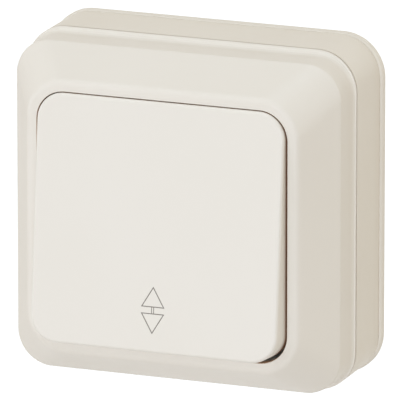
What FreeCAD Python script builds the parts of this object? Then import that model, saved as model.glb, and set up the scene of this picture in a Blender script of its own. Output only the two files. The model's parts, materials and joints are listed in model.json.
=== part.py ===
import FreeCAD, Part
import math
import os

import Sketcher
from FreeCAD import Vector

# Two-way rocker switch for surface mounting, in millimetres and degrees.
# X runs to the right, Z up and Y into the wall. The origin is the centre of the
# wall face, and a depth is a distance from the wall towards the front (-Y).

SIZES = (
    # back plate
    ("plate_rim_side", 0.5, "back plate, reach past the box at the sides"),
    ("plate_rim_end", 0.25, "back plate, reach past the box at top and bottom"),
    ("plate_thick", 1.6, "back plate, thickness"),
    ("plate_edge", 0.6, "back plate, rounding of the front edge"),
    ("slot_spacing", 52.0, "wall slots, centre to centre along Z"),
    ("slot_travel", 4.0, "wall slots, straight length along Z"),
    ("slot_radius", 2.2, "wall slots, half width"),
    ("entry_radius", 5.5, "cable entry from the wall"),
    ("peg_inset", 6.5, "locating pegs, distance from the outside of the box"),
    ("peg_radius", 1.2, "locating pegs"),
    ("peg_gap", 0.1, "locating pegs, clearance in the box floor"),
    # back box
    ("box_width", 67.2, "back box, side to side"),
    ("box_height", 67.0, "back box, bottom to top"),
    ("box_corner", 7.9, "back box, corner radius"),
    ("box_depth", 12.6, "back box, back plate to seam"),
    ("box_edge", 0.4, "back box, rounding of the rear edge"),
    ("box_wall", 1.8, "back box, side walls"),
    ("floor_thick", 2.0, "back box, floor"),
    ("knockout_width", 12.0, "thinned cable knockouts, width"),
    ("knockout_skin", 0.8, "thinned cable knockouts, wall left outside"),
    ("knockout_height", 7.6, "thinned cable knockouts, reach from the seam"),
    ("post_radius", 3.0, "screw posts"),
    ("post_inset", 3.1, "screw posts, distance of their centres inside the window"),
    ("post_gap", 0.4, "screw posts, clearance to the mechanism body"),
    ("cover_post_up", 17.0, "cover screw posts, distance from the centre along Z"),
    ("strap_seat", 6.4, "mechanism posts, height over the box floor"),
    ("bore_end", 1.0, "screw posts, bore left free past the screw's end"),
    # front cover
    ("cover_inset_side", 0.5, "front cover, side walls inside the box's outline"),
    ("cover_inset_end", 1.1, "front cover, top and bottom walls inside the box's outline"),
    ("cover_corner", 7.0, "front cover, corner radius"),
    ("cover_side", 7.6, "front cover, seam to shoulder"),
    ("seam_gap", 0.4, "flared rim, open joint to the back box"),
    ("flare_land", 0.35, "flared rim, straight edge at the seam"),
    ("flare_depth", 1.5, "flared rim, depth of the hollow curve"),
    ("slope_depth", 8.8, "bezel slope, shoulder to lip plane"),
    ("slope_inset", 5.6, "bezel slope, side wall to lip"),
    ("lip_width", 2.0, "lip around the window"),
    ("lip_round", 1.6, "lip, rounding of its outer edge"),
    ("window_round", 0.2, "lip, rounding of the window edge"),
    ("shoulder_round", 0.6, "shoulder, rounding"),
    ("window_corner", 5.7, "window, corner radius"),
    ("tongue_gap", 0.15, "locating tongue, clearance in the box"),
    ("tongue_wall", 1.0, "locating tongue, thickness"),
    ("tongue_reach", 2.0, "locating tongue, reach into the box"),
    ("shoulder_wall", 0.9, "hollow of the cover, stop short of the shoulder"),
    ("lip_wall", 3.4, "hollow of the cover, stop short of the lip plane"),
    ("tunnel_wall", 1.5, "wall behind the window"),
    ("tray_depth", 10.6, "window, lip plane to tray floor"),
    ("tray_thick", 1.5, "tray floor"),
    ("opening_gap", 0.5, "opening in the tray floor, clearance beside the pivot cheeks"),
    ("opening_corner", 2.0, "opening in the tray floor, corner radius"),
    # rocker key and its swing
    ("tilt", 5.4, "rocker, angle to either side of the middle"),
    ("pivot_setback", 3.7, "rocker pivot, distance behind the lip plane"),
    ("face_rise", 6.4, "rocker face, distance from the pivot"),
    ("key_gap", 0.37, "rocker key, clearance to the window's sides"),
    ("key_end_gap", 0.6, "rocker key, clearance to the window's top and bottom"),
    ("key_wall", 2.0, "rocker key, face thickness and skirt thickness"),
    ("key_skirt", 7.0, "rocker key, face to skirt end"),
    ("key_round", 0.6, "rocker key, rounding of the face edge"),
    ("key_rib_place", 20.4, "rocker key, ribs, distance from the centre plane"),
    ("key_rib_length", 38.0, "rocker key, ribs, length along Z"),
    ("key_rib_thick", 1.2, "rocker key, ribs, thickness"),
    ("hook_place", 8.0, "rocker key, hooks, distance from the centre plane"),
    ("hook_width", 5.0, "rocker key, hooks, width along X"),
    ("hook_thick", 1.5, "rocker key, hooks, thickness"),
    ("hook_barb", 0.8, "rocker key, hooks, reach under the cradle"),
    ("hook_tip", 1.5, "rocker key, hooks, length past the cradle"),
    ("snug", 0.05, "running clearance of clips, pins and plunger"),
    # cradle
    ("cradle_margin", 0.25, "cradle plate, reach past the webs"),
    ("cradle_height", 22.0, "cradle plate, bottom to top"),
    ("cradle_plate", 1.5, "cradle plate, thickness"),
    ("web_thick", 2.2, "cradle webs, thickness"),
    ("web_radius", 3.0, "cradle webs, half width and round end"),
    ("web_gap", 0.65, "cradle webs, clearance to the cheeks"),
    ("pin_radius", 1.6, "pivot pins"),
    ("pin_end", 0.2, "pivot pins, set back from the outside of the cheeks"),
    ("hub_radius", 3.4, "plunger guide, outer radius"),
    ("hub_reach", 6.0, "plunger guide, reach behind the pivot"),
    ("guide_depth", 2.5, "plunger guide, bore floor in front of the pivot"),
    ("spigot_radius", 0.65, "spring spigot in the bore"),
    ("spigot_reach", 1.5, "spring spigot, length"),
    ("rib_thick", 1.6, "cradle rib, thickness"),
    # plunger and spring
    ("plunger_radius", 1.9, "plunger barrel"),
    ("plunger_front", 1.0, "plunger, front end behind the pivot"),
    ("barrel_length", 7.4, "plunger barrel, length"),
    ("nose_radius", 1.3, "plunger nose and its round tip"),
    ("hollow_radius", 1.35, "spring hollow in the plunger"),
    ("hollow_depth", 6.2, "spring hollow, depth"),
    ("tip_gap", 0.03, "plunger tip, clearance to the blade at mid swing"),
    ("spring_radius", 0.95, "spring, mean coil radius"),
    ("spring_wire", 0.18, "spring, wire radius"),
    ("spring_turns", 7.0, "spring, turns"),
    ("spring_gap", 0.35, "spring, free play in the plunger"),
    # mechanism body
    ("body_height", 40.0, "mechanism body, bottom to top"),
    ("body_corner", 1.5, "mechanism body, corner radius"),
    ("body_depth", 11.0, "mechanism body, depth"),
    ("body_lift", 2.4, "mechanism body, gap to the box floor"),
    ("body_floor", 2.4, "mechanism body, floor thickness"),
    ("strap_thick", 2.0, "mechanism strap, thickness"),
    ("cheek_thick", 2.6, "pivot cheeks, thickness"),
    ("cheek_radius", 3.4, "pivot cheeks, half width and round end"),
    ("well_half", 6.5, "blade well, half width"),
    ("end_wall", 1.5, "mechanism body, end walls"),
    ("rib_setback", 3.8, "well ribs, distance inside the terminal screws"),
    ("rib_slot", 0.15, "well ribs, clearance to the terminal strips"),
    ("partition", 1.2, "walls between the wells"),
    ("side_well", 8.0, "side wells, width"),
    ("side_well_top", 4.5, "common side well, end above the centre"),
    ("blind_floor", 3.0, "blind side well, extra floor"),
    ("wire_width", 4.8, "wire entries, width"),
    ("recess_gap", 0.2, "recesses under the terminal collars, clearance"),
    # contacts
    ("blade_tilt", 9.0, "contact blade, angle to either side of the middle"),
    ("blade_width", 6.0, "contact blade, width"),
    ("blade_overhang", 1.6, "contact blade, length past the contacts"),
    ("blade_thick", 0.9, "contact blade, thickness"),
    ("blade_seat", 0.3, "contact blade, rear face behind the knife edge"),
    ("blade_ear", 0.8, "contact blade, guide ears, thickness"),
    ("ear_drop", 1.7, "contact blade, guide ears, reach behind the blade"),
    ("ear_half", 1.6, "contact blade, guide ears, half length"),
    ("groove_half", 0.75, "contact blade, groove, half width at the rear face"),
    ("knife_half", 0.1, "knife edge, half width of its flat top"),
    ("contact_reach", 7.0, "moving contacts, distance from the knife edge"),
    ("tip_head", 0.6, "moving contacts, head height"),
    ("tip_radius", 1.7, "moving contacts, head radius"),
    ("tip_crown", 4.0, "moving contacts, radius of the crowned face"),
    ("fixed_head", 0.8, "fixed contacts, head height"),
    ("fixed_radius", 1.9, "fixed contacts, head radius"),
    ("fixed_crown", 12.0, "fixed contacts, radius of the crowned face"),
    ("shank_radius", 1.0, "contact rivets, shank"),
    ("contact_gap", 0.03, "closed contacts, clearance"),
    # terminals
    ("strip_width", 6.0, "terminal strips, width"),
    ("strip_thick", 0.8, "terminal strips, thickness"),
    ("strip_start", 4.6, "traveller strips, inner end from the centre"),
    ("strip_gap", 0.3, "terminal strips, clearance to the end walls"),
    ("terminal_inset", 2.9, "terminal screws, distance from the strips' outer ends"),
    ("saddle_half", 2.7, "knife-edge saddle, half width"),
    ("saddle_thick", 1.0, "knife-edge saddle, thickness"),
    ("saddle_taper", 1.0, "knife-edge saddle, height of the tapered top"),
    ("common_half", 2.6, "common strip, half width under the saddle"),
    ("collar_radius", 2.5, "threaded collars under the strips"),
    ("collar_height", 1.0, "threaded collars, height"),
    ("wire_space", 2.6, "open clamps, strip to clamp plate"),
    ("clamp_width", 7.6, "clamp plates, side to side"),
    ("clamp_height", 5.8, "clamp plates, bottom to top"),
    ("clamp_thick", 0.8, "clamp plates, thickness"),
    ("clamp_lip", 0.7, "clamp plates, side lips, thickness"),
    ("clamp_drop", 1.0, "clamp plates, side lips, reach"),
    ("clamp_hole", 0.25, "clamp plates, clearance around the screws"),
    # screws
    ("m35_radius", 1.55, "terminal screws, shank"),
    ("m35_head", 2.9, "terminal screws, head radius"),
    ("m35_rise", 1.8, "terminal screws, head height"),
    ("m35_spare", 0.1, "terminal screws, end past the collar"),
    ("m3_radius", 1.45, "case screws, shank"),
    ("m3_head", 2.75, "case screws, head radius"),
    ("m3_rise", 2.0, "case screws, head height"),
    ("m3_hole", 0.25, "case screws, clearance in the held piece"),
    ("strap_screw", 7.0, "mechanism screws, length"),
    ("cover_screw", 9.0, "cover screws, length"),
    ("thread_gap", 0.05, "screws, clearance in their threads"),
    ("point_length", 1.0, "screws, tapered point"),
    ("point_taper", 0.6, "screws, radius lost at the point"),
    ("head_bevel", 0.6, "screws, bevel around the head"),
    ("slot_width", 0.8, "screw slots, width"),
    ("slot_depth", 0.9, "screw slots, depth"),
)

XY, XZ, YZ = "XY_Plane", "XZ_Plane", "YZ_Plane"
COVE_STEPS = 4
EDGE_MATCH = 1e-4
LEAST_CUT = 1e-3
SPRING_SIDES = 8
SPRING_RUNS = 12


class Dim:
    """A size: its value, and the expression that gives it from the sheet."""

    def __init__(self, value, text):
        self.value = value
        self.text = text

    def __add__(self, other):
        other = dim(other)
        return Dim(self.value + other.value, f"({self.text} + {other.text})")

    def __sub__(self, other):
        other = dim(other)
        return Dim(self.value - other.value, f"({self.text} - {other.text})")

    def __mul__(self, other):
        other = dim(other)
        return Dim(self.value * other.value, f"({self.text} * {other.text})")

    def __truediv__(self, other):
        other = dim(other)
        return Dim(self.value / other.value, f"({self.text} / {other.text})")

    def __neg__(self):
        return self * -1


def dim(number):
    """The number as a size, unless it is one."""
    if isinstance(number, Dim):
        return number
    return Dim(float(number), f"({number:.9g})")


def sine(angle):
    return Dim(math.sin(math.radians(angle.value)), f"sin({angle.text} * 1 deg)")


def cosine(angle):
    return Dim(math.cos(math.radians(angle.value)), f"cos({angle.text} * 1 deg)")


def fill_sheet(doc):
    """Write the driving sizes to the sheet and return them by name."""
    sheet = doc.addObject("Spreadsheet::Sheet", "Sizes")
    named = {}
    for row, (alias, value, note) in enumerate(SIZES, start=1):
        sheet.set(f"A{row}", note)
        sheet.set(f"B{row}", str(value))
        sheet.setAlias(f"B{row}", alias)
        named[alias] = Dim(value, f"Sizes.{alias}")
    doc.recompute()
    return named


doc = FreeCAD.newDocument("two_way_switch")
size = fill_sheet(doc)

# Outlines seen from the front
plate_width = size["box_width"] + size["plate_rim_side"] * 2
plate_height = size["box_height"] + size["plate_rim_end"] * 2
cover_width = size["box_width"] - size["cover_inset_side"] * 2
cover_height = size["box_height"] - size["cover_inset_end"] * 2
window_inset = size["slope_inset"] + size["lip_width"]
window_width = cover_width - window_inset * 2
window_height = cover_height - window_inset * 2
key_height = window_height - size["key_end_gap"] * 2

# Depths from the wall, back to front
floor_front = size["plate_thick"] + size["floor_thick"]
seam = size["plate_thick"] + size["box_depth"]
shoulder = seam + size["cover_side"]
lip_plane = shoulder + size["slope_depth"]
tray_front = lip_plane - size["tray_depth"]
tray_rear = tray_front - size["tray_thick"]
pivot = lip_plane - size["pivot_setback"]
strap_rear = floor_front + size["strap_seat"]
strap_front = strap_rear + size["strap_thick"]
body_rear = floor_front + size["body_lift"]
body_front = body_rear + size["body_depth"]
strip_rear = body_rear + size["body_floor"]
strip_front = strip_rear + size["strip_thick"]
clamp_rear = strip_front + size["wire_space"]
clamp_front = clamp_rear + size["clamp_thick"]

# The crowned face of a closed moving contact just meets the fixed contact
tip_drop = size["blade_seat"] + size["tip_head"]
crown_centre = size["tip_crown"] - tip_drop
closing = (
    size["contact_reach"] * sine(size["blade_tilt"])
    + size["tip_crown"]
    - crown_centre * cosine(size["blade_tilt"])
)
contact_face = strip_front + size["fixed_head"]
knife = contact_face + size["contact_gap"] + closing
fixed_place = (
    crown_centre * sine(size["blade_tilt"])
    + size["contact_reach"] * cosine(size["blade_tilt"])
)
blade_front = size["blade_thick"] - size["blade_seat"]
plunger_reach = pivot - knife - blade_front - size["tip_gap"]

# Places across the switch
post_side = window_width / 2 - size["post_inset"]
body_width = (post_side - size["post_radius"] - size["post_gap"]) * 2
peg_side = size["box_width"] / 2 - size["peg_inset"]
peg_up = size["box_height"] / 2 - size["peg_inset"]
strip_end = size["body_height"] / 2 - size["end_wall"] - size["strip_gap"]
terminal_place = strip_end - size["terminal_inset"]
common_place = size["well_half"] + size["partition"] + size["side_well"] / 2
cheek_inside = body_width / 2 - size["cheek_thick"]
web_outside = cheek_inside - size["web_gap"]
plate_front = size["face_rise"] - size["key_wall"]
plate_rear = plate_front - size["cradle_plate"]
terminal_bore = size["m35_radius"] + size["thread_gap"]
case_bore = size["m3_radius"] + size["thread_gap"]
case_hole = size["m3_radius"] + size["m3_hole"]


def bind(thing, path, length):
    """Drive one property by the size's expression."""
    thing.setExpression(path, dim(length).text)


def new_body(label):
    body = doc.addObject("PartDesign::Body", label)
    body.Label = label
    return body


def new_sketch(body, name, plane=XZ, offset=0):
    """A sketch on the body's own origin plane, moved along its normal."""
    sketch = body.newObject("Sketcher::SketchObject", f"{body.Name}_{name}_sketch")
    support = next(f for f in body.Origin.OriginFeatures if f.Role == plane)
    sketch.AttachmentSupport = [(support, "")]
    sketch.MapMode = "FlatFace"
    bind(sketch, "AttachmentOffset.Base.z", offset)
    return sketch


def hold(sketch, kind, *where, length):
    """Add a dimension to the sketch and drive it by the size."""
    index = sketch.addConstraint(Sketcher.Constraint(kind, *where, length.value))
    bind(sketch, f"Constraints[{index}]", length)


def hold_point(sketch, geometry, point, x, y):
    hold(sketch, "DistanceX", -1, 1, geometry, point, length=x)
    hold(sketch, "DistanceY", -1, 1, geometry, point, length=y)


def draw_polygon(sketch, points):
    """A closed outline of straight edges through the points."""
    points = [(dim(x), dim(y)) for x, y in points]
    first = sketch.GeometryCount
    count = len(points)
    for index, (x, y) in enumerate(points):
        end_x, end_y = points[(index + 1) % count]
        start = Vector(x.value, y.value, 0)
        end = Vector(end_x.value, end_y.value, 0)
        sketch.addGeometry(Part.LineSegment(start, end), False)
    for index in range(count):
        following = first + (index + 1) % count
        join = Sketcher.Constraint("Coincident", first + index, 2, following, 1)
        sketch.addConstraint(join)
    for index, (x, y) in enumerate(points):
        hold_point(sketch, first + index, 1, x, y)


def draw_rectangle(sketch, left, right, low, high):
    draw_polygon(sketch, ((left, low), (right, low), (right, high), (left, high)))


def draw_circle(sketch, x, y, radius):
    x, y = dim(x), dim(y)
    circle = Part.Circle(Vector(x.value, y.value, 0), Vector(0, 0, 1), radius.value)
    index = sketch.addGeometry(circle, False)
    hold_point(sketch, index, 3, x, y)
    hold(sketch, "Radius", index, length=radius)


def draw_rounded(sketch, corners, radius):
    """A closed outline of equal arcs about the corner centres, in order, joined by tangents."""
    first = sketch.GeometryCount
    count = len(corners)
    turn = 2 * math.pi / count
    arcs = []
    for index, (x, y, start) in enumerate(corners):
        centre = Vector(x.value, y.value, 0)
        circle = Part.Circle(centre, Vector(0, 0, 1), radius.value)
        arcs.append(Part.ArcOfCircle(circle, start, start + turn))
    for index, arc in enumerate(arcs):
        sketch.addGeometry(arc, False)
        run = Part.LineSegment(arc.EndPoint, arcs[(index + 1) % count].StartPoint)
        sketch.addGeometry(run, False)
    for index in range(count):
        arc = first + 2 * index
        following = first + (2 * index + 2) % (2 * count)
        sketch.addConstraint(Sketcher.Constraint("Tangent", arc, 2, arc + 1, 1))
        sketch.addConstraint(Sketcher.Constraint("Tangent", arc + 1, 2, following, 1))
        if index:
            sketch.addConstraint(Sketcher.Constraint("Equal", first, arc))
        hold_point(sketch, arc, 3, corners[index][0], corners[index][1])
    hold(sketch, "Radius", first, length=radius)


def draw_rounded_rectangle(sketch, width, height, radius):
    side = width / 2 - radius
    up = height / 2 - radius
    quarter = math.pi / 2
    corners = (
        (side, up, 0),
        (-side, up, quarter),
        (-side, -up, 2 * quarter),
        (side, -up, 3 * quarter),
    )
    draw_rounded(sketch, corners, radius)


def draw_slot_across(sketch, left, right, y, radius):
    """A slot with round ends about two centres on a line along the sketch's x."""
    half = math.pi / 2
    corners = ((dim(right), dim(y), -half), (dim(left), dim(y), half))
    draw_rounded(sketch, corners, radius)


def draw_slot_up(sketch, x, low, high, radius):
    """A slot with round ends about two centres on a line along the sketch's y."""
    corners = ((dim(x), dim(high), 0), (dim(x), dim(low), math.pi))
    draw_rounded(sketch, corners, radius)


def pad(body, name, sketch, length):
    """Add material along the sketch's normal."""
    feature = body.newObject("PartDesign::Pad", f"{body.Name}_{name}")
    feature.Profile = sketch
    bind(feature, "Length", length)
    sketch.Visibility = False
    doc.recompute()
    return feature


def pocket(body, name, sketch, length):
    """Cut material against the sketch's normal, and check that it did."""
    before = body.Shape.Volume
    feature = body.newObject("PartDesign::Pocket", f"{body.Name}_{name}")
    feature.Profile = sketch
    bind(feature, "Length", length)
    sketch.Visibility = False
    doc.recompute()
    if body.Shape.Volume > before - LEAST_CUT:
        raise ValueError(f"{feature.Name} cuts nothing")
    return feature


def loft(body, name, sketches, kind="PartDesign::AdditiveLoft"):
    """Join the outlines by ruled faces."""
    feature = body.newObject(kind, f"{body.Name}_{name}")
    feature.Profile = sketches[0]
    feature.Sections = sketches[1:]
    feature.Ruled = True
    for sketch in sketches:
        sketch.Visibility = False
    doc.recompute()
    return feature


def round_edges(body, name, chosen, radius):
    """Round the edges of the body's last feature that the test chooses."""
    base = body.Tip
    names = []
    for index, edge in enumerate(base.Shape.Edges, start=1):
        if chosen(edge):
            names.append(f"Edge{index}")
    feature = body.newObject("PartDesign::Fillet", f"{body.Name}_{name}")
    feature.Base = (base, names)
    bind(feature, "Radius", radius)
    doc.recompute()
    return feature


def edge_lies_at(depth, width=None, height=None, inside=False):
    """A test for edges at one depth whose middle is inside or outside a rectangle, if one is given."""

    def test(edge):
        box = edge.BoundBox
        if max(abs(box.YMin + depth.value), abs(box.YMax + depth.value)) > EDGE_MATCH:
            return False
        if width is None:
            return True
        middle = edge.valueAt((edge.FirstParameter + edge.LastParameter) / 2)
        across = abs(middle.x) < width.value / 2
        up = abs(middle.z) < height.value / 2
        return (across and up) == inside

    return test


def place(thing, x=0, y=0, z=0, angle=0, about="x"):
    """Put the piece in its place, turned about the X or the Y axis."""
    bind(thing, "Placement.Base.x", x)
    bind(thing, "Placement.Base.y", y)
    bind(thing, "Placement.Base.z", z)
    bind(thing, "Placement.Rotation.Axis.x", 1 if about == "x" else 0)
    bind(thing, "Placement.Rotation.Axis.y", 1 if about == "y" else 0)
    bind(thing, "Placement.Rotation.Axis.z", 0)
    thing.setExpression("Placement.Rotation.Angle", f"{dim(angle).text} * 1 deg")


def place_on_rocker(thing, angle=0):
    """Put a piece that was made about the pivot in the rocker's place at rest."""
    place(thing, y=-pivot, angle=dim(angle) - size["tilt"])


def make_back_plate():
    body = new_body("back_plate")
    outline = new_sketch(body, "outline")
    corner = size["box_corner"] + size["plate_rim_side"]
    draw_rounded_rectangle(outline, plate_width, plate_height, corner)
    pad(body, "plate", outline, size["plate_thick"])
    round_edges(body, "edge", edge_lies_at(size["plate_thick"]), size["plate_edge"])
    pegs = new_sketch(body, "pegs")
    for side in (1, -1):
        for up in (1, -1):
            draw_circle(pegs, peg_side * side, peg_up * up, size["peg_radius"])
    pad(body, "pegs", pegs, floor_front - size["peg_gap"])
    cut_wall_openings(body, size["plate_thick"])
    place(body)
    return body


def cut_wall_openings(body, front):
    """The two wall slots and the cable entry, cut from the given depth to the wall."""
    openings = new_sketch(body, "openings", offset=front)
    for side in (1, -1):
        middle = size["slot_spacing"] / 2 * side
        draw_slot_up(
            openings,
            0,
            middle - size["slot_travel"] / 2,
            middle + size["slot_travel"] / 2,
            size["slot_radius"],
        )
    draw_circle(openings, -post_side, size["cover_post_up"], size["entry_radius"])
    pocket(body, "openings", openings, front)


def make_back_box():
    body = new_body("back_box")
    outline = new_sketch(body, "outline", offset=size["plate_thick"])
    draw_rounded_rectangle(outline, size["box_width"], size["box_height"], size["box_corner"])
    pad(body, "outside", outline, size["box_depth"])
    round_edges(body, "edge", edge_lies_at(size["plate_thick"]), size["box_edge"])

    inner_width = size["box_width"] - size["box_wall"] * 2
    inner_height = size["box_height"] - size["box_wall"] * 2
    hollow = new_sketch(body, "hollow", offset=seam)
    draw_rounded_rectangle(
        hollow, inner_width, inner_height, size["box_corner"] - size["box_wall"]
    )
    pocket(body, "hollow", hollow, seam - floor_front)

    knockouts = new_sketch(body, "knockouts", offset=seam)
    half = size["knockout_width"] / 2
    cut = size["box_wall"] - size["knockout_skin"]
    for side in (1, -1):
        wall = inner_height / 2 * side
        draw_rectangle(knockouts, -half, half, wall - cut * side, wall + cut * side)
        wall = inner_width / 2 * side
        draw_rectangle(knockouts, wall - cut * side, wall + cut * side, -half, half)
    pocket(body, "knockouts", knockouts, size["knockout_height"])

    for name, height, up in (
        ("cover_posts", tray_rear, size["cover_post_up"]),
        ("strap_posts", strap_rear, dim(0)),
    ):
        posts = new_sketch(body, name, offset=floor_front)
        for side in (1, -1):
            draw_circle(posts, post_side * side, up * side, size["post_radius"])
        pad(body, name, posts, height - floor_front)

    for name, height, up, length in (
        ("cover_bores", tray_rear, size["cover_post_up"], size["cover_screw"] - size["tray_thick"]),
        ("strap_bores", strap_rear, dim(0), size["strap_screw"] - size["strap_thick"]),
    ):
        bores = new_sketch(body, name, offset=height)
        for side in (1, -1):
            draw_circle(bores, post_side * side, up * side, case_bore)
        pocket(body, name, bores, length + size["bore_end"])

    cut_wall_openings(body, floor_front)
    holes = new_sketch(body, "peg_holes", offset=floor_front)
    for side in (1, -1):
        for up in (1, -1):
            draw_circle(
                holes, peg_side * side, peg_up * up, size["peg_radius"] + size["peg_gap"]
            )
    pocket(body, "peg_holes", holes, size["floor_thick"])
    place(body)
    return body


def cover_outlines(body):
    """Outlines of the cover from its rim to the lip: flared rim, side wall, slope."""
    flare_width = size["cover_inset_side"] * 2
    flare_height = size["cover_inset_end"] * 2
    flare_corner = size["box_corner"] - size["cover_corner"]
    rim_rear = seam + size["seam_gap"]
    sections = [(rim_rear, dim(1))]
    curve_start = rim_rear + size["flare_land"]
    for step in range(COVE_STEPS + 1):
        angle = dim(90 * step / COVE_STEPS)
        depth = curve_start + size["flare_depth"] * (dim(1) - cosine(angle))
        sections.append((depth, dim(1) - sine(angle)))
    sections.append((shoulder, dim(0)))
    outlines = []
    for index, (depth, flare) in enumerate(sections):
        sketch = new_sketch(body, f"rim_{index}", offset=depth)
        draw_rounded_rectangle(
            sketch,
            cover_width + flare_width * flare,
            cover_height + flare_height * flare,
            size["cover_corner"] + flare_corner * flare,
        )
        outlines.append(sketch)
    outlines.append(lip_outline(body, "lip", lip_plane))
    return outlines


def lip_outline(body, name, depth):
    """The outer outline of the lip, around the window."""
    sketch = new_sketch(body, name, offset=depth)
    draw_rounded_rectangle(
        sketch,
        window_width + size["lip_width"] * 2,
        window_height + size["lip_width"] * 2,
        size["window_corner"] + size["lip_width"],
    )
    return sketch


def make_front_cover():
    body = new_body("front_cover")
    loft(body, "outside", cover_outlines(body))

    tongue_margin = size["box_wall"] + size["tongue_gap"]
    tongue = new_sketch(body, "tongue", offset=seam - size["tongue_reach"])
    draw_rounded_rectangle(
        tongue,
        size["box_width"] - tongue_margin * 2,
        size["box_height"] - tongue_margin * 2,
        size["box_corner"] - tongue_margin,
    )
    pad(body, "tongue", tongue, size["tongue_reach"] + size["flare_depth"])

    hollow_margin = tongue_margin + size["tongue_wall"]
    hollow_front = shoulder - size["shoulder_wall"]
    hollows = []
    for name in ("hollow", "hollow_slope"):
        sketch = new_sketch(body, name, offset=hollow_front)
        draw_rounded_rectangle(
            sketch,
            size["box_width"] - hollow_margin * 2,
            size["box_height"] - hollow_margin * 2,
            size["box_corner"] - hollow_margin,
        )
        hollows.append(sketch)
    pocket(body, "hollow", hollows[0], hollow_front - seam + size["tongue_reach"])
    slope_end = lip_outline(body, "hollow_end", lip_plane - size["lip_wall"])
    loft(body, "hollow_slope", [hollows[1], slope_end], "PartDesign::SubtractiveLoft")

    tunnel = new_sketch(body, "tunnel", offset=tray_rear)
    draw_rounded_rectangle(
        tunnel,
        window_width + size["tunnel_wall"] * 2,
        window_height + size["tunnel_wall"] * 2,
        size["window_corner"] + size["tunnel_wall"],
    )
    pad(body, "tunnel", tunnel, lip_plane - size["lip_wall"] / 2 - tray_rear)
    window = new_sketch(body, "window", offset=lip_plane)
    draw_rounded_rectangle(window, window_width, window_height, size["window_corner"])
    pocket(body, "window", window, size["tray_depth"])
    opening = new_sketch(body, "opening", offset=tray_front)
    opening_width = body_width + size["opening_gap"] * 2
    draw_rounded_rectangle(
        opening, opening_width, size["body_height"], size["opening_corner"]
    )
    for side in (1, -1):
        draw_circle(opening, post_side * side, size["cover_post_up"] * side, case_hole)
    pocket(body, "opening", opening, size["tray_thick"])

    # The middle line of the lip parts its outer edge from its window edge
    lip_middle = (window_width + size["lip_width"], window_height + size["lip_width"])
    lip_edge = edge_lies_at(lip_plane, *lip_middle)
    round_edges(body, "lip_edge", lip_edge, size["lip_round"])
    window_edge = edge_lies_at(lip_plane, *lip_middle, inside=True)
    round_edges(body, "window_edge", window_edge, size["window_round"])
    shoulder_edge = edge_lies_at(shoulder, *lip_middle)
    round_edges(body, "shoulder_edge", shoulder_edge, size["shoulder_round"])
    place(body)
    return body


def make_rocker_key():
    body = new_body("rocker_key")
    width = window_width - size["key_gap"] * 2
    corner = size["window_corner"] - size["key_gap"]
    skirt_end = size["face_rise"] - size["key_skirt"]
    outline = new_sketch(body, "outline", offset=skirt_end)
    draw_rounded_rectangle(outline, width, key_height, corner)
    pad(body, "outside", outline, size["key_skirt"])
    round_edges(body, "face_edge", edge_lies_at(size["face_rise"]), size["key_round"])
    hollow = new_sketch(body, "hollow", offset=plate_front)
    draw_rounded_rectangle(
        hollow,
        width - size["key_wall"] * 2,
        key_height - size["key_wall"] * 2,
        corner - size["key_wall"],
    )
    pocket(body, "hollow", hollow, plate_front - skirt_end)

    ribs = new_sketch(body, "ribs", offset=plate_rear)
    for side in (1, -1):
        middle = size["key_rib_place"] * side
        draw_rectangle(
            ribs,
            middle - size["key_rib_thick"] / 2,
            middle + size["key_rib_thick"] / 2,
            size["key_rib_length"] / -2,
            size["key_rib_length"] / 2,
        )
    pad(body, "ribs", ribs, size["cradle_plate"] + size["key_wall"] / 2)

    leg_inside = size["cradle_height"] / 2 + size["snug"]
    leg_outside = leg_inside + size["hook_thick"]
    barb_inside = size["cradle_height"] / 2 - size["hook_barb"]
    barb_front = plate_rear - size["snug"]
    barb_rear = barb_front - size["hook_barb"]
    hook_end = plate_rear - size["hook_tip"]
    root = plate_front + size["key_wall"] / 2
    for across in (1, -1):
        for up in (1, -1):
            name = f"hook_{'right' if across > 0 else 'left'}_{'top' if up > 0 else 'bottom'}"
            middle = size["hook_place"] * across
            hook = new_sketch(body, name, YZ, offset=middle - size["hook_width"] / 2)
            profile = (
                (-root, leg_inside * up),
                (-barb_front, leg_inside * up),
                (-barb_front, barb_inside * up),
                (-barb_rear, barb_inside * up),
                (-hook_end, leg_inside * up),
                (-hook_end, leg_outside * up),
                (-root, leg_outside * up),
            )
            draw_polygon(hook, profile)
            pad(body, name, hook, size["hook_width"])
    place_on_rocker(body)
    return body


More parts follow.
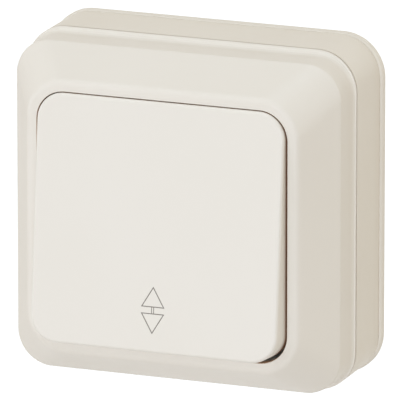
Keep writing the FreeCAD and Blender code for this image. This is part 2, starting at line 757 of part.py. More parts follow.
def make_rocker_cradle():
    body = new_body("rocker_cradle")
    plate = new_sketch(body, "plate", offset=plate_rear)
    half_width = web_outside + size["cradle_margin"]
    half_height = size["cradle_height"] / 2
    draw_rectangle(plate, -half_width, half_width, -half_height, half_height)
    pad(body, "plate", plate, size["cradle_plate"])

    for name, inside in (
        ("web_right", web_outside - size["web_thick"]),
        ("web_left", -web_outside),
    ):
        web = new_sketch(body, name, YZ, offset=inside)
        draw_rectangle(web, -plate_rear, 0, -size["web_radius"], size["web_radius"])
        pad(body, name, web, size["web_thick"])
        boss = new_sketch(body, f"{name}_end", YZ, offset=inside)
        draw_circle(boss, 0, 0, size["web_radius"])
        pad(body, f"{name}_end", boss, size["web_thick"])
    pin_reach = body_width / 2 - size["pin_end"]
    pins = new_sketch(body, "pins", YZ, offset=-pin_reach)
    draw_circle(pins, 0, 0, size["pin_radius"])
    pad(body, "pins", pins, pin_reach * 2)

    rib = new_sketch(body, "rib")
    rib_half = size["rib_thick"] / 2
    draw_rectangle(rib, -web_outside, web_outside, -rib_half, rib_half)
    pad(body, "rib", rib, plate_rear)
    hub = new_sketch(body, "hub", offset=-size["hub_reach"])
    draw_circle(hub, 0, 0, size["hub_radius"])
    pad(body, "hub", hub, size["hub_reach"] + plate_rear)
    bore = new_sketch(body, "bore", offset=size["guide_depth"])
    draw_circle(bore, 0, 0, size["plunger_radius"] + size["snug"])
    pocket(body, "bore", bore, size["guide_depth"] + size["hub_reach"])
    spigot = new_sketch(body, "spigot", offset=size["guide_depth"] - size["spigot_reach"])
    draw_circle(spigot, 0, 0, size["spigot_radius"])
    pad(body, "spigot", spigot, size["spigot_reach"])
    place_on_rocker(body)
    return body


def new_solid(kind, name, place_z=0, **lengths):
    """A primitive on the local Z axis, its sizes driven by the sheet."""
    solid = doc.addObject(f"Part::{kind}", name)
    for path, length in lengths.items():
        bind(solid, path, length)
    bind(solid, "Placement.Base.z", place_z)
    return solid


def combine(kind, name, base, tool):
    result = doc.addObject(f"Part::{kind}", name)
    result.Base = base
    result.Tool = tool
    return result


def make_plunger():
    """Hollow barrel with a slimmer nose, made along the local Z axis from the pivot."""
    front = size["plunger_front"]
    barrel_end = front + size["barrel_length"]
    tip_centre = plunger_reach - size["nose_radius"]
    barrel = new_solid(
        "Cylinder",
        "plunger_barrel",
        front,
        Radius=size["plunger_radius"],
        Height=size["barrel_length"],
    )
    neck_length = size["plunger_radius"] - size["nose_radius"]
    neck = new_solid(
        "Cone",
        "plunger_neck",
        barrel_end,
        Radius1=size["plunger_radius"],
        Radius2=size["nose_radius"],
        Height=neck_length,
    )
    nose = new_solid(
        "Cylinder",
        "plunger_nose",
        barrel_end,
        Radius=size["nose_radius"],
        Height=tip_centre - barrel_end,
    )
    tip = new_solid("Sphere", "plunger_tip", tip_centre, Radius=size["nose_radius"])
    hollow = new_solid(
        "Cylinder",
        "plunger_hollow",
        front,
        Radius=size["hollow_radius"],
        Height=size["hollow_depth"],
    )
    outside = combine("Fuse", "plunger_outside", barrel, neck)
    outside = combine("Fuse", "plunger_with_nose", outside, nose)
    outside = combine("Fuse", "plunger_with_tip", outside, tip)
    plunger = combine("Cut", "plunger", outside, hollow)
    place_on_rocker(plunger, -90)
    return plunger


def make_plunger_spring():
    """Wire wound about the local Z axis, each turn a run of short straight lengths."""
    coil = size["spring_radius"].value
    wire = size["spring_wire"].value
    start = wire - size["guide_depth"].value
    end = size["plunger_front"] + size["hollow_depth"] - size["spring_gap"]
    rise = end.value - wire - start
    runs = round(SPRING_RUNS * size["spring_turns"].value)
    points = []
    for run in range(runs + 1):
        angle = 2 * math.pi * size["spring_turns"].value * run / runs
        height = start + rise * run / runs
        points.append(Vector(coil * math.cos(angle), coil * math.sin(angle), height))
    path = Part.makePolygon(points)
    section = []
    heading = (points[1] - points[0]).normalize()
    outward = Vector(points[0].x, points[0].y, 0).normalize()
    upward = heading.cross(outward)
    for side in range(SPRING_SIDES + 1):
        angle = 2 * math.pi * side / SPRING_SIDES
        offset = outward * (wire * math.cos(angle)) + upward * (wire * math.sin(angle))
        section.append(points[0] + offset)
    spring = doc.addObject("Part::Feature", "plunger_spring")
    spring.Shape = path.makePipeShell([Part.makePolygon(section)], True, False, 1)
    place_on_rocker(spring, -90)
    return spring


def make_mechanism_body():
    body = new_body("mechanism_body")
    block = new_sketch(body, "block", offset=body_rear)
    draw_rounded_rectangle(
        block, body_width, size["body_height"], size["body_corner"]
    )
    pad(body, "block", block, size["body_depth"])
    strap = new_sketch(body, "strap", offset=strap_rear)
    draw_slot_across(strap, -post_side, post_side, 0, size["post_radius"])
    pad(body, "strap", strap, size["strap_thick"])
    for name, start in (("cheek_right", cheek_inside), ("cheek_left", body_width / -2)):
        cheek = new_sketch(body, name, YZ, offset=start)
        draw_slot_across(cheek, -pivot, -body_front, 0, size["cheek_radius"])
        pad(body, name, cheek, size["cheek_thick"])

    well_depth = body_front - strip_rear
    well = size["well_half"]
    well_end = size["body_height"] / 2 - size["end_wall"]
    side_start = well + size["partition"]
    side_end = side_start + size["side_well"]
    wells = new_sketch(body, "wells", offset=body_front)
    draw_rectangle(wells, -well, well, -well_end, well_end)
    draw_rectangle(wells, side_start, side_end, -well_end, size["side_well_top"])
    pocket(body, "wells", wells, well_depth)
    passage = new_sketch(body, "passage", offset=body_front)
    passage_half = size["common_half"] + size["rib_slot"]
    draw_rectangle(passage, 0, common_place, -passage_half, passage_half)
    pocket(body, "passage", passage, well_depth)
    blind = new_sketch(body, "blind_well", offset=body_front)
    draw_rectangle(blind, -side_end, -side_start, -well_end, well_end)
    pocket(body, "blind_well", blind, well_depth - size["blind_floor"])

    ribs = new_sketch(body, "ribs", offset=strip_rear)
    rib_inside = size["strip_width"] / 2 + size["rib_slot"]
    rib_half = size["partition"] / 2
    for up in (1, -1):
        middle = (terminal_place - size["rib_setback"]) * up
        for side in (1, -1):
            draw_rectangle(
                ribs, rib_inside * side, well * side, middle - rib_half, middle + rib_half
            )
    pad(body, "ribs", ribs, well_depth)

    recesses = new_sketch(body, "recesses", offset=strip_rear)
    recess_radius = size["collar_radius"] + size["recess_gap"]
    for x, y in terminal_places():
        draw_circle(recesses, x, y, recess_radius)
    pocket(body, "recesses", recesses, size["collar_height"] + size["recess_gap"] * 2)

    beyond = size["body_height"] / 2 + size["end_wall"]
    wire_half = size["wire_width"] / 2
    for name, middle, start in (
        ("wire_entries", dim(0), beyond),
        ("common_wire_entry", common_place, dim(0)),
    ):
        entry = new_sketch(body, name, XY, offset=start)
        draw_rectangle(
            entry, middle - wire_half, middle + wire_half, -clamp_front, -strip_front
        )
        pocket(body, name, entry, start + beyond)
    pin_holes = new_sketch(body, "pin_holes", YZ, offset=body_width)
    draw_circle(pin_holes, -pivot, 0, size["pin_radius"] + size["snug"])
    pocket(body, "pin_holes", pin_holes, body_width * 2)
    holes = new_sketch(body, "strap_holes", offset=strap_front)
    for side in (1, -1):
        draw_circle(holes, post_side * side, 0, case_hole)
    pocket(body, "strap_holes", holes, size["strap_thick"])
    place(body)
    return body


def terminal_places():
    """Centres of the upper, lower and common terminal screws, across and up."""
    return (
        (dim(0), terminal_place),
        (dim(0), -terminal_place),
        (common_place, -terminal_place),
    )


def make_contact_blade():
    """Rocking blade, made about the knife edge, with a groove behind and two guide ears."""
    body = new_body("contact_blade")
    strip = new_sketch(body, "strip", offset=-size["blade_seat"])
    half_width = size["blade_width"] / 2
    half_length = size["contact_reach"] + size["blade_overhang"]
    draw_rectangle(strip, -half_width, half_width, -half_length, half_length)
    pad(body, "strip", strip, size["blade_thick"])
    for side, start in (("right", half_width), ("left", -half_width - size["blade_ear"])):
        ear = new_sketch(body, f"ear_{side}", YZ, offset=start)
        draw_rectangle(
            ear,
            -blade_front,
            size["blade_seat"] + size["ear_drop"],
            -size["ear_half"],
            size["ear_half"],
        )
        pad(body, f"ear_{side}", ear, size["blade_ear"])
    groove = new_sketch(body, "groove", YZ, offset=half_width)
    groove_bottom = -size["contact_gap"]
    bottom_half = size["knife_half"] + size["contact_gap"]
    profile = (
        (size["blade_seat"], -size["groove_half"]),
        (groove_bottom, -bottom_half),
        (groove_bottom, bottom_half),
        (size["blade_seat"], size["groove_half"]),
    )
    draw_polygon(groove, profile)
    pocket(body, "groove", groove, size["blade_width"])
    holes = new_sketch(body, "holes", offset=blade_front)
    for up in (1, -1):
        draw_circle(holes, 0, size["contact_reach"] * up, size["shank_radius"])
    pocket(body, "holes", holes, size["blade_thick"])
    place(body, y=-knife, angle=size["blade_tilt"])
    return body


def make_contact(label, head, radius, crown, shank):
    """Contact rivet along the local Z axis, its crowned head above the seat at zero."""
    disc = new_solid("Cylinder", f"{label}_disc", Radius=radius, Height=head)
    ball = new_solid("Sphere", f"{label}_ball", head - crown, Radius=crown)
    stem = new_solid(
        "Cylinder", f"{label}_stem", -shank, Radius=size["shank_radius"], Height=shank
    )
    top = combine("Common", f"{label}_head", disc, ball)
    return combine("Fuse", label, top, stem)


def make_moving_contact(label, up):
    """Rivet in the blade, its head on the rear side."""
    rivet = make_contact(
        label, size["tip_head"], size["tip_radius"], size["tip_crown"], size["blade_thick"]
    )
    tilt = size["blade_tilt"]
    along = size["contact_reach"] * up
    seat = size["blade_seat"]
    place(
        rivet,
        y=seat * cosine(tilt) - along * sine(tilt) - knife,
        z=seat * sine(tilt) + along * cosine(tilt),
        angle=tilt - 90,
    )
    return rivet


def make_fixed_contact(label, up):
    """Rivet in a traveller strip, its head on the front side."""
    rivet = make_contact(
        label, size["fixed_head"], size["fixed_radius"], size["fixed_crown"], size["strip_thick"]
    )
    place(rivet, y=-strip_front, z=fixed_place * up, angle=90)
    return rivet


def add_terminal_thread(body, x, y):
    """Threaded collar behind the strip, and the bore through both."""
    collar = new_sketch(body, "collar", offset=strip_rear - size["collar_height"])
    draw_circle(collar, x, y, size["collar_radius"])
    pad(body, "collar", collar, size["collar_height"])
    bore = new_sketch(body, "bore", offset=strip_front)
    draw_circle(bore, x, y, terminal_bore)
    pocket(body, "bore", bore, size["strip_thick"] + size["collar_height"])


def make_traveller(label, angle):
    """Strip under one end of the blade, made for the upper side and turned for the lower."""
    body = new_body(label)
    strip = new_sketch(body, "strip", offset=strip_rear)
    half = size["strip_width"] / 2
    draw_rectangle(strip, -half, half, size["strip_start"], strip_end)
    pad(body, "strip", strip, size["strip_thick"])
    add_terminal_thread(body, dim(0), terminal_place)
    hole = new_sketch(body, "contact_hole", offset=strip_front)
    draw_circle(hole, 0, fixed_place, size["shank_radius"])
    pocket(body, "contact_hole", hole, size["strip_thick"])
    place(body, angle=angle, about="y")
    return body


def make_common_terminal():
    """Angled strip to the common screw, with the saddle that carries the blade."""
    body = new_body("common_terminal")
    strip = new_sketch(body, "strip", offset=strip_rear)
    half = size["strip_width"] / 2
    leg_left = common_place - half
    leg_right = common_place + half
    outline = (
        (-size["saddle_half"], -size["common_half"]),
        (leg_left, -size["common_half"]),
        (leg_left, -strip_end),
        (leg_right, -strip_end),
        (leg_right, size["common_half"]),
        (-size["saddle_half"], size["common_half"]),
    )
    draw_polygon(strip, outline)
    pad(body, "strip", strip, size["strip_thick"])
    saddle = new_sketch(body, "saddle", YZ, offset=-size["saddle_half"])
    thick_half = size["saddle_thick"] / 2
    taper_start = knife - size["saddle_taper"]
    profile = (
        (-strip_rear, -thick_half),
        (-taper_start, -thick_half),
        (-knife, -size["knife_half"]),
        (-knife, size["knife_half"]),
        (-taper_start, thick_half),
        (-strip_rear, thick_half),
    )
    draw_polygon(saddle, profile)
    pad(body, "saddle", saddle, size["saddle_half"] * 2)
    add_terminal_thread(body, common_place, -terminal_place)
    place(body)
    return body


def make_clamp_plate(label, x, z):
    """Pressure plate under a terminal screw's head, made about its own centre."""
    body = new_body(label)
    plate = new_sketch(body, "plate")
    half_width = size["clamp_width"] / 2
    half_height = size["clamp_height"] / 2
    draw_rectangle(plate, -half_width, half_width, -half_height, half_height)
    pad(body, "plate", plate, size["clamp_thick"])
    lips = new_sketch(body, "lips", offset=-size["clamp_drop"])
    for side in (1, -1):
        draw_rectangle(
            lips,
            (half_width - size["clamp_lip"]) * side,
            half_width * side,
            -half_height,
            half_height,
        )
    pad(body, "lips", lips, size["clamp_drop"])
    hole = new_sketch(body, "hole", offset=size["clamp_thick"])
    draw_circle(hole, 0, 0, size["m35_radius"] + size["clamp_hole"])
    pocket(body, "hole", hole, size["clamp_thick"])
    place(body, x=x, y=-clamp_rear, z=z)
    return body


def make_screw(label, shank, head, rise, length, x, depth, z):
    """Slotted screw about the local Y axis, its head in front of the seat at zero."""
    body = new_body(label)
    profile = new_sketch(body, "profile", XY)
    points = (
        (0, -rise),
        (head - size["head_bevel"], -rise),
        (head, size["head_bevel"] - rise),
        (head, 0),
        (shank, 0),
        (shank, length - size["point_length"]),
        (shank - size["point_taper"], length),
        (0, length),
    )
    draw_polygon(profile, points)
    turned = body.newObject("PartDesign::Revolution", f"{body.Name}_turned")
    turned.Profile = profile
    turned.ReferenceAxis = (profile, ["V_Axis"])
    turned.Angle = 360
    doc.recompute()
    slot = new_sketch(body, "slot", offset=rise)
    half = size["slot_width"] / 2
    reach = head + size["slot_width"]
    draw_rectangle(slot, -reach, reach, -half, half)
    pocket(body, "slot", slot, size["slot_depth"])
    place(body, x=x, y=-depth, z=z)
    return body


def make_terminal_screw(label, x, z):
    reach = clamp_front - strip_rear + size["collar_height"] + size["m35_spare"]
    return make_screw(
        label, size["m35_radius"], size["m35_head"], size["m35_rise"], reach, x, clamp_front, z
    )


def make_case_screw(label, length, x, depth, z):
    return make_screw(
        label, size["m3_radius"], size["m3_head"], size["m3_rise"], length, x, depth, z
    )


def make_pieces():
    """All the separate pieces of the switch, back to front."""
    pieces = [
        make_back_plate(),
        make_back_box(),
        make_front_cover(),
        make_rocker_key(),
        make_rocker_cradle(),
        make_plunger(),
        make_plunger_spring(),
        make_mechanism_body(),
        make_contact_blade(),
        make_moving_contact("moving_contact_upper", 1),
        make_moving_contact("moving_contact_lower", -1),
        make_fixed_contact("fixed_contact_upper", 1),
        make_fixed_contact("fixed_contact_lower", -1),
        make_traveller("traveller_terminal_upper", 0),
        make_traveller("traveller_terminal_lower", 180),
        make_common_terminal(),
    ]
    for name, (x, z) in zip(("upper", "lower", "common"), terminal_places()):
        pieces.append(make_clamp_plate(f"clamp_plate_{name}", x, z))
        pieces.append(make_terminal_screw(f"terminal_screw_{name}", x, z))
    for side, strap_name, cover_name in (
        (1, "mechanism_screw_right", "cover_screw_top"),
        (-1, "mechanism_screw_left", "cover_screw_bottom"),
    ):
        x = post_side * side
        up = size["cover_post_up"] * side
        pieces.append(make_case_screw(strap_name, size["strap_screw"], x, strap_front, dim(0)))
        pieces.append(make_case_screw(cover_name, size["cover_screw"], x, tray_front, up))
    return pieces


def check_document():
    """Stop if any object of the document failed."""
    doc.recompute()
    for thing in doc.Objects:
        if "Invalid" in thing.State or "Error" in thing.State:
            raise RuntimeError(f"{thing.Label} failed: {thing.State}")


def write_pieces(pieces):
    """Check each piece's solid and write it under its own name."""
    os.makedirs("parts", exist_ok=True)
    for piece in pieces:
        if piece.Shape.isNull() or not piece.Shape.isValid():
            raise RuntimeError(f"{piece.Label} has no valid shape")
        if len(piece.Shape.Solids) != 1:
            raise RuntimeError(f"{piece.Label} has {len(piece.Shape.Solids)} solids")
        piece.Shape.exportStep(f"parts/{piece.Label}.step")
        print(piece.Label, round(piece.Shape.Volume, 2))


pieces = make_pieces()
check_document()
write_pieces(pieces)
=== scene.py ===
import json
import math

import bmesh
import bpy
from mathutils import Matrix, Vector


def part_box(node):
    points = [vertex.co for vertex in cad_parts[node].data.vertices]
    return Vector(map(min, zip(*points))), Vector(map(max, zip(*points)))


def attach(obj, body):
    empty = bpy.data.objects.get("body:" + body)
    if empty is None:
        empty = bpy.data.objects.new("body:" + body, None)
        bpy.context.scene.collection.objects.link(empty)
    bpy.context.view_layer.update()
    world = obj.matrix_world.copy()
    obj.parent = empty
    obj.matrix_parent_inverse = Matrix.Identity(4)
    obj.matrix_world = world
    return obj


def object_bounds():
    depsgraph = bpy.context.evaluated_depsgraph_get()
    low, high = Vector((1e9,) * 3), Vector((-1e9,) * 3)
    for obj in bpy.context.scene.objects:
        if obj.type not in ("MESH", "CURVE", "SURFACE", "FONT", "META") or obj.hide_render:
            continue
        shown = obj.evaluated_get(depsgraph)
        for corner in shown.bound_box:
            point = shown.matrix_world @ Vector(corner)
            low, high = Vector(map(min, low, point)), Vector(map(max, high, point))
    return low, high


# Two-way rocker switch in warm white plastic, high above a pale floor in soft light.
# Lengths are in metres: X to the right, Z up, and the wall at Y = 0. Angles are in
# degrees, with azimuth 0 in front of the switch and 90 on its right.
# Colours are red, green and blue.

MM = 0.001

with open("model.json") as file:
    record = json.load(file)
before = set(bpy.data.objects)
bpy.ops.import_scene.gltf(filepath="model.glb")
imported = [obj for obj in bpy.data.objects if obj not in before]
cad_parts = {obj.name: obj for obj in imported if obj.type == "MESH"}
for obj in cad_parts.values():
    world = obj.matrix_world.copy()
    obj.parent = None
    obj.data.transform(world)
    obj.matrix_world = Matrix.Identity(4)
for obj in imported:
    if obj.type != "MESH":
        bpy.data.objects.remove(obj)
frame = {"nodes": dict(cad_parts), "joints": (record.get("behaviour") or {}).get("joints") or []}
cad_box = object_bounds()
nodes = frame["nodes"]

# View of the photograph
IMAGE_WIDTH = 400
SENSOR_WIDTH = 36.0  # in millimetres, as Blender takes it
VIEW_AZIMUTH = 21.29
VIEW_ELEVATION = 15.18
VIEW_DISTANCE = 1753 * MM
PIXELS_PER_METRE = 5.26 / MM
LIP_CENTRE_PIXEL = (161.23, 227.6)
CLIP_START = 0.05
CLIP_END = 20

# Symbol on the rocker
SYMBOL_ACROSS = -0.16 * MM  # its middle, from the rocker's centre line
SYMBOL_RISE = 8.25 * MM  # its middle, above the rocker's lower end
SYMBOL_WIDTH = 4.8 * MM
SYMBOL_ARROW = 4.01 * MM  # height of one arrowhead
SYMBOL_GAP = 1.16 * MM  # between the arrowheads
SYMBOL_LINE = 0.18 * MM
SYMBOL_STEM = 0.42 * MM  # between the middles of the stem's two lines
SYMBOL_STEM_LINE = 0.14 * MM
SYMBOL_STAND = 0.02 * MM  # above the face, and as far into it

# Painted shade in the colour of plastic deep in a narrow gap; the gap round the rocker is the
# deeper one
GAP_REACH = 0.8 * MM
WINDOW_REACH = 6.0 * MM
PAINTED_GAP_SHADE = (0.68, 0.43, 0.27)
GAP_CLOSED, GAP_OPEN = 0.1, 0.4  # share of open sky with all the shade, and with none
GAP_SAMPLES = 8

# Plastic surface: noise in features per metre
PLASTIC_PATCHES = 35
PLASTIC_GLOSS_PATCHES = 420
PLASTIC_GLOSS_SPREAD = 0.03
PLASTIC_GRAIN = 6000
PLASTIC_GRAIN_HEIGHT = 0.05 * MM
PLASTIC_IOR = 1.49

# Metal surface: noise in features per metre
METAL_PATCHES = 500
METAL_MARKS = 4000
METAL_MARK_STRENGTH = 0.15
METAL_MARK_HEIGHT = 0.02 * MM
METAL_SMOOTHER, METAL_ROUGHER = 0.08, 0.1
ROLLED = (1, 1, 8)

# The span that most of the noise lies in
NOISE_LOW, NOISE_HIGH = 0.3, 0.7

# Sockets of the colour mix node, which shares its names between data types
MIX_SHARE, MIX_FIRST, MIX_SECOND, MIX_RESULT = 0, 6, 7, 2

# Floor and room; the switch is mounted on a wall, clear of the floor
FLOOR_DROP = 1200 * MM
FLOOR_HALF = 6.0  # half its width
FLOOR_PATCHES = 3
FLOOR_ROUGHNESS = 0.6
FLOOR_TONES = ((0.80, 0.80, 0.79), (0.79, 0.79, 0.785))
FLOOR_GLOW = (0.85, 0.92, 1.0)
FLOOR_GLOW_STRENGTH = 0.8
ROOM_COLOUR = (1.0, 0.92, 0.78)
ROOM_STRENGTH = 0.56
WHITE = (1, 1, 1)

# Square lamps on a sphere round the switch: name, azimuth, elevation, watts, colour
LAMP_DISTANCE = 1.4
LAMP_SIZE = 0.6
LAMPS = (
    ("front_lamp", 10, 5, 5.5, (0.70, 0.83, 1.0)),
    ("top_lamp", 0, 70, 6.1, (0.72, 0.835, 1.0)),
    ("left_lamp", -60, 0, 4.2, (0.81, 0.86, 1.0)),
    ("right_lamp", 120, 15, 2.4, (1.0, 1.0, 1.0)),
    ("low_lamp", 20, -30, 2.0, (0.90, 0.85, 1.0)),
    ("rear_lamp", 180, 0, 4.5, (0.75, 0.85, 1.0)),
)


class Shader:
    """A node tree, with short calls to add nodes and join them."""

    def __init__(self, owner):
        owner.use_nodes = True
        self.tree = owner.node_tree
        self.tree.nodes.clear()

    def add(self, kind, inputs=None, **settings):
        """A new node; each input takes another node's output, a number or a colour."""
        node = self.tree.nodes.new(kind)
        for name, value in settings.items():
            setattr(node, name, value)
        for name, value in (inputs or {}).items():
            if isinstance(value, bpy.types.NodeSocket):
                self.tree.links.new(value, node.inputs[name])
            elif node.inputs[name].type == "RGBA":
                node.inputs[name].default_value = (*value, 1)
            else:
                node.inputs[name].default_value = value
        return node

    def noise(self, scale, detail=2.0, stretch=(1, 1, 1)):
        """Seamless noise in the object's own space, in features per metre."""
        place = self.add("ShaderNodeTexCoord").outputs["Object"]
        if stretch != (1, 1, 1):
            place = self.add(
                "ShaderNodeMapping", {"Vector": place, "Scale": stretch}
            ).outputs[0]
        return self.add(
            "ShaderNodeTexNoise", {"Vector": place, "Scale": scale, "Detail": detail}
        ).outputs["Fac"]

    def remap(self, value, start, end, low, high):
        """The value's span start..end, mapped to low..high."""
        return self.add(
            "ShaderNodeMapRange",
            {
                "Value": value,
                "From Min": start,
                "From Max": end,
                "To Min": low,
                "To Max": high,
            },
        ).outputs["Result"]

    def spread(self, noise, low, high):
        """The noise's usual span, mapped to low..high."""
        return self.remap(noise, NOISE_LOW, NOISE_HIGH, low, high)

    def mix(self, share, first, second, **settings):
        """A colour between two others."""
        return self.add(
            "ShaderNodeMix",
            {MIX_SHARE: share, MIX_FIRST: first, MIX_SECOND: second},
            data_type="RGBA",
            **settings,
        ).outputs[MIX_RESULT]

    def larger(self, first, second):
        """The larger of two values."""
        return self.add(
            "ShaderNodeMath", {0: first, 1: second}, operation="MAXIMUM"
        ).outputs[0]

    def seen_directly(self):
        """One for rays of the camera, a mirror or a clear body; zero for the light."""
        rays = self.add("ShaderNodeLightPath").outputs
        camera_or_glossy = self.larger(rays["Is Camera Ray"], rays["Is Glossy Ray"])
        return self.larger(camera_or_glossy, rays["Is Transmission Ray"])

    def choose(self, share, first, second):
        """One of two shaders: the second where the share is one."""
        return self.add(
            "ShaderNodeMixShader",
            {0: share, 1: first.outputs[0], 2: second.outputs[0]},
        )

    def finish(self, surface, output="ShaderNodeOutputMaterial"):
        """Join the shader to the tree's output."""
        self.add(output, {"Surface": surface.outputs[0]})


def plastic(name, colour, second, roughness, grain=0.02, reach=GAP_REACH):
    """Moulded plastic: two close tones, uneven gloss, fine grain, and painted shade that darkens
    the colour in narrow gaps.
    """
    material = bpy.data.materials.new(name)
    shader = Shader(material)
    patches = shader.spread(shader.noise(PLASTIC_PATCHES), 0, 1)
    tone = shader.mix(patches, colour, second)
    # Painted shade: the colour turns darker and warmer where ambient occlusion finds little open
    # sky
    open_sky = shader.add(
        "ShaderNodeAmbientOcclusion", {"Distance": reach}, samples=GAP_SAMPLES
    ).outputs["AO"]
    painted_shade = shader.mix(
        shader.remap(open_sky, GAP_CLOSED, GAP_OPEN, 0, 1), PAINTED_GAP_SHADE, WHITE
    )
    tone = shader.mix(1.0, tone, painted_shade, blend_type="MULTIPLY")
    gloss = shader.spread(
        shader.noise(PLASTIC_GLOSS_PATCHES, detail=3),
        roughness - PLASTIC_GLOSS_SPREAD,
        roughness + PLASTIC_GLOSS_SPREAD,
    )
    bump = shader.add(
        "ShaderNodeBump",
        {
            "Height": shader.noise(PLASTIC_GRAIN, detail=1),
            "Strength": grain,
            "Distance": PLASTIC_GRAIN_HEIGHT,
        },
    )
    surface = shader.add(
        "ShaderNodeBsdfPrincipled",
        {
            "Base Color": tone,
            "Roughness": gloss,
            "IOR": PLASTIC_IOR,
            "Normal": bump.outputs["Normal"],
        },
    )
    shader.finish(surface)
    return material


def metal(name, colour, second, roughness, stretch=(1, 1, 1)):
    """Worked metal: patchy tone, brushed gloss and fine tool marks."""
    material = bpy.data.materials.new(name)
    shader = Shader(material)
    patches = shader.spread(shader.noise(METAL_PATCHES, detail=3), 0, 1)
    tone = shader.mix(patches, colour, second)
    marks = shader.noise(METAL_MARKS, detail=3, stretch=stretch)
    gloss = shader.spread(marks, roughness - METAL_SMOOTHER, roughness + METAL_ROUGHER)
    bump = shader.add(
        "ShaderNodeBump",
        {
            "Height": marks,
            "Strength": METAL_MARK_STRENGTH,
            "Distance": METAL_MARK_HEIGHT,
        },
    )
    surface = shader.add(
        "ShaderNodeBsdfPrincipled",
        {
            "Base Color": tone,
            "Metallic": 1.0,
            "Roughness": gloss,
            "Normal": bump.outputs["Normal"],
        },
    )
    shader.finish(surface)
    return material


# The materials by the slot that the CAD nodes name
MATERIALS = {
    "plate_plastic": plastic(
        "back_plate_plastic", (0.80, 0.755, 0.67), (0.785, 0.735, 0.645), 0.5
    ),
    "box_plastic": plastic(
        "back_box_plastic", (0.80, 0.75, 0.66), (0.785, 0.73, 0.635), 0.5
    ),
    "cover_plastic": plastic(
        "front_cover_plastic",
        (0.82, 0.775, 0.70),
        (0.805, 0.76, 0.68),
        0.52,
        reach=WINDOW_REACH,
    ),
    "key_plastic": plastic(
        "rocker_plastic",
        (0.83, 0.79, 0.72),
        (0.82, 0.78, 0.705),
        0.44,
        reach=WINDOW_REACH,
    ),
    "cradle_plastic": plastic(
        "cradle_plastic_white", (0.74, 0.71, 0.65), (0.70, 0.67, 0.61), 0.5
    ),
    "mechanism_plastic": plastic(
        "mechanism_plastic_grey",
        (0.22, 0.215, 0.2),
        (0.2, 0.195, 0.18),
        0.5,
        grain=0.06,
    ),
    "plunger_nylon": plastic(
        "plunger_nylon_white", (0.7, 0.69, 0.64), (0.66, 0.65, 0.6), 0.45
    ),
    "terminal_brass": metal(
        "terminal_brass_rolled", (0.72, 0.52, 0.24), (0.66, 0.46, 0.2), 0.34, ROLLED
    ),
    "blade_copper": metal(
        "blade_copper_rolled", (0.78, 0.42, 0.26), (0.7, 0.36, 0.22), 0.36, ROLLED
    ),
    "contact_silver": metal(
        "contact_silver_pressed", (0.82, 0.81, 0.78), (0.74, 0.73, 0.7), 0.28
    ),
    "clamp_steel": metal(
        "clamp_steel_zinc", (0.62, 0.62, 0.6), (0.55, 0.55, 0.52), 0.38
    ),
    "screw_steel": metal(
        "screw_steel_zinc", (0.66, 0.66, 0.65), (0.58, 0.58, 0.56), 0.32
    ),
    "spring_steel": metal(
        "spring_steel_drawn", (0.5, 0.5, 0.5), (0.44, 0.44, 0.44), 0.3
    ),
}


def dress_nodes():
    """Give each CAD node the material of its slot."""
    for node in nodes.values():
        for index, slot in enumerate(node.data.materials):
            node.data.materials[index] = MATERIALS[slot.name.split(".")[0]]


dress_nodes()


def direction(azimuth, elevation):
    """The unit vector that leads away from the switch at these angles."""
    a, e = math.radians(azimuth), math.radians(elevation)
    return Vector((math.sin(a) * math.cos(e), -math.cos(a) * math.cos(e), math.sin(e)))


def add_object(name, data):
    """A new object in the scene, for a mesh, a lamp or a camera."""
    thing = bpy.data.objects.new(name, data)
    bpy.context.scene.collection.objects.link(thing)
    return thing


def aim(thing, facing):
    """Turn a lamp or a camera to look along a vector."""
    thing.rotation_mode = "QUATERNION"
    thing.rotation_quaternion = facing.to_track_quat("-Z", "Y")


# The rocker's face: its plane at rest, from the joint and the node
rocker_joint = next(j for j in frame["joints"] if j["name"] == "rocker_tilt")
pivot = Vector(rocker_joint["pos_m"])
tilt = math.radians(rocker_joint["range_deg"][1] / 2)
face_normal = Vector((0, -math.cos(tilt), math.sin(tilt)))
face_up = Vector((0, math.sin(tilt), math.cos(tilt)))
face_right = Vector((1, 0, 0))
key_points = [vertex.co - pivot for vertex in nodes["rocker_key"].data.vertices]
face_reach = max(point.dot(face_normal) for point in key_points)
key_bottom = min(point.dot(face_up) for point in key_points)


def on_face(across, up, proud):
    """A point across from the symbol's middle, up from the pivot and off the face."""
    middle = pivot + face_right * (SYMBOL_ACROSS + across)
    return middle + face_up * up + face_normal * (face_reach + proud)


def inset_polygon(points, distance):
    """The polygon with each edge moved inwards; its points run counterclockwise."""
    moved = []
    count = len(points)
    for index, corner in enumerate(points):
        before = (corner - points[index - 1]).normalized()
        after = (points[(index + 1) % count] - corner).normalized()
        inward = Vector((-before.y, before.x)) + Vector((-after.y, after.x))
        moved.append(corner + inward * (distance / (1 + before.dot(after))))
    return moved


def add_band(mesh, outside, inside):
    """A raised closed band between two polygons on the face."""
    rings = []
    for proud in (-SYMBOL_STAND, SYMBOL_STAND):
        for points in (outside, inside):
            rings.append([mesh.verts.new(on_face(p.x, p.y, proud)) for p in points])
    low_out, low_in, high_out, high_in = rings
    count = len(outside)
    for a in range(count):
        b = (a + 1) % count
        mesh.faces.new((high_out[a], high_out[b], high_in[b], high_in[a]))
        mesh.faces.new((low_out[b], low_out[a], low_in[a], low_in[b]))
        mesh.faces.new((low_out[a], low_out[b], high_out[b], high_out[a]))
        mesh.faces.new((low_in[b], low_in[a], high_in[a], high_in[b]))


def add_bar(mesh, left, right, low, high):
    """A raised upright bar on the face."""
    corners = ((left, low), (right, low), (right, high), (left, high))
    rear = [mesh.verts.new(on_face(x, y, -SYMBOL_STAND)) for x, y in corners]
    front = [mesh.verts.new(on_face(x, y, SYMBOL_STAND)) for x, y in corners]
    mesh.faces.new(front)
    mesh.faces.new(rear[::-1])
    count = len(corners)
    for a in range(count):
        b = (a + 1) % count
        mesh.faces.new((rear[a], rear[b], front[b], front[a]))


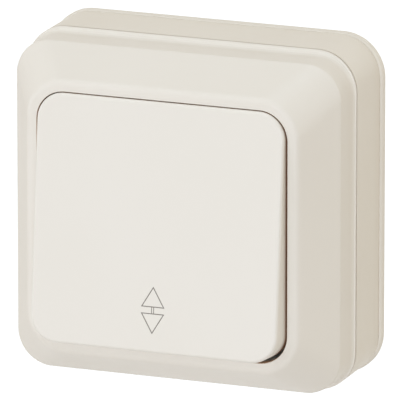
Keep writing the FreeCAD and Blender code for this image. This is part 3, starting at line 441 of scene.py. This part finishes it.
def make_symbol():
    """Two outlined arrowheads, up and down, joined by a narrow outlined stem."""
    mesh = bmesh.new()
    middle = key_bottom + SYMBOL_RISE
    half = SYMBOL_WIDTH / 2
    for way in (1, -1):
        base = middle + way * SYMBOL_GAP / 2
        apex = base + way * SYMBOL_ARROW
        triangle = [Vector((-half, base)), Vector((half, base)), Vector((0, apex))]
        if way < 0:
            triangle.reverse()
        add_band(mesh, triangle, inset_polygon(triangle, SYMBOL_LINE))
    low, high = middle - SYMBOL_GAP / 2, middle + SYMBOL_GAP / 2
    for side in (1, -1):
        near = side * (SYMBOL_STEM - SYMBOL_STEM_LINE) / 2
        far = side * (SYMBOL_STEM + SYMBOL_STEM_LINE) / 2
        add_bar(mesh, min(near, far), max(near, far), low, high)
    bmesh.ops.recalc_face_normals(mesh, faces=mesh.faces)
    data = bpy.data.meshes.new("arrow_symbol")
    mesh.to_mesh(data)
    mesh.free()
    ink = plastic(
        "symbol_ink", (0.25, 0.225, 0.195), (0.21, 0.19, 0.165), 0.55, grain=0.05
    )
    data.materials.append(ink)
    symbol = add_object("arrow_symbol", data)
    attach(symbol, "rocker")


make_symbol()


def make_floor():
    """A wide pale floor below the switch; white to the eye, with its shadow kept."""
    level = cad_box[0].z - FLOOR_DROP
    corners = [
        (x * FLOOR_HALF, y * FLOOR_HALF, level)
        for x, y in ((-1, -1), (1, -1), (1, 1), (-1, 1))
    ]
    data = bpy.data.meshes.new("floor")
    data.from_pydata(corners, [], [(0, 1, 2, 3)])
    floor = add_object("floor", data)
    material = bpy.data.materials.new("floor_paper")
    shader = Shader(material)
    patches = shader.spread(shader.noise(FLOOR_PATCHES), 0, 1)
    tone = shader.mix(patches, *FLOOR_TONES)
    paper = shader.add(
        "ShaderNodeBsdfDiffuse", {"Color": tone, "Roughness": FLOOR_ROUGHNESS}
    )
    glow = shader.add(
        "ShaderNodeEmission", {"Color": FLOOR_GLOW, "Strength": FLOOR_GLOW_STRENGTH}
    )
    glowing_paper = shader.add(
        "ShaderNodeAddShader", {0: paper.outputs[0], 1: glow.outputs[0]}
    )
    shader.finish(shader.choose(shader.seen_directly(), paper, glowing_paper))
    data.materials.append(material)


make_floor()


def make_world():
    """Even room light, and white where the eye or a reflection passes the floor."""
    world = bpy.data.worlds.new("room")
    bpy.context.scene.world = world
    shader = Shader(world)
    room = shader.add(
        "ShaderNodeBackground", {"Color": ROOM_COLOUR, "Strength": ROOM_STRENGTH}
    )
    white = shader.add("ShaderNodeBackground", {"Color": WHITE, "Strength": 1.0})
    choice = shader.choose(shader.seen_directly(), room, white)
    shader.finish(choice, output="ShaderNodeOutputWorld")


make_world()


def add_lamp(name, azimuth, elevation, power, colour):
    """A soft lamp that faces the switch."""
    away = direction(azimuth, elevation)
    data = bpy.data.lights.new(name, "AREA")
    data.shape = "SQUARE"
    data.size = LAMP_SIZE
    data.energy = power
    data.color = colour
    lamp = add_object(name, data)
    lamp.location = away * LAMP_DISTANCE
    aim(lamp, -away)


for lamp_values in LAMPS:
    add_lamp(*lamp_values)


def make_camera():
    """The photograph's camera, with the middle of the lip on its pixel."""
    back = direction(VIEW_AZIMUTH, VIEW_ELEVATION)
    right = direction(VIEW_AZIMUTH + 90, 0)
    up = back.cross(right)
    lip_centre = Vector((0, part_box("front_cover")[0].y, 0))
    middle = IMAGE_WIDTH / 2
    across = (middle - LIP_CENTRE_PIXEL[0]) / PIXELS_PER_METRE
    above = (LIP_CENTRE_PIXEL[1] - middle) / PIXELS_PER_METRE
    target = lip_centre + right * across + up * above
    data = bpy.data.cameras.new("photo_camera")
    data.sensor_width = SENSOR_WIDTH
    data.lens = PIXELS_PER_METRE * VIEW_DISTANCE * SENSOR_WIDTH / IMAGE_WIDTH
    data.clip_start = CLIP_START
    data.clip_end = CLIP_END
    camera = add_object("photo_camera", data)
    camera.location = lip_centre + back * VIEW_DISTANCE
    aim(camera, target - camera.location)
    bpy.context.scene.camera = camera


make_camera()

bpy.context.scene.view_settings.view_transform = "Standard"
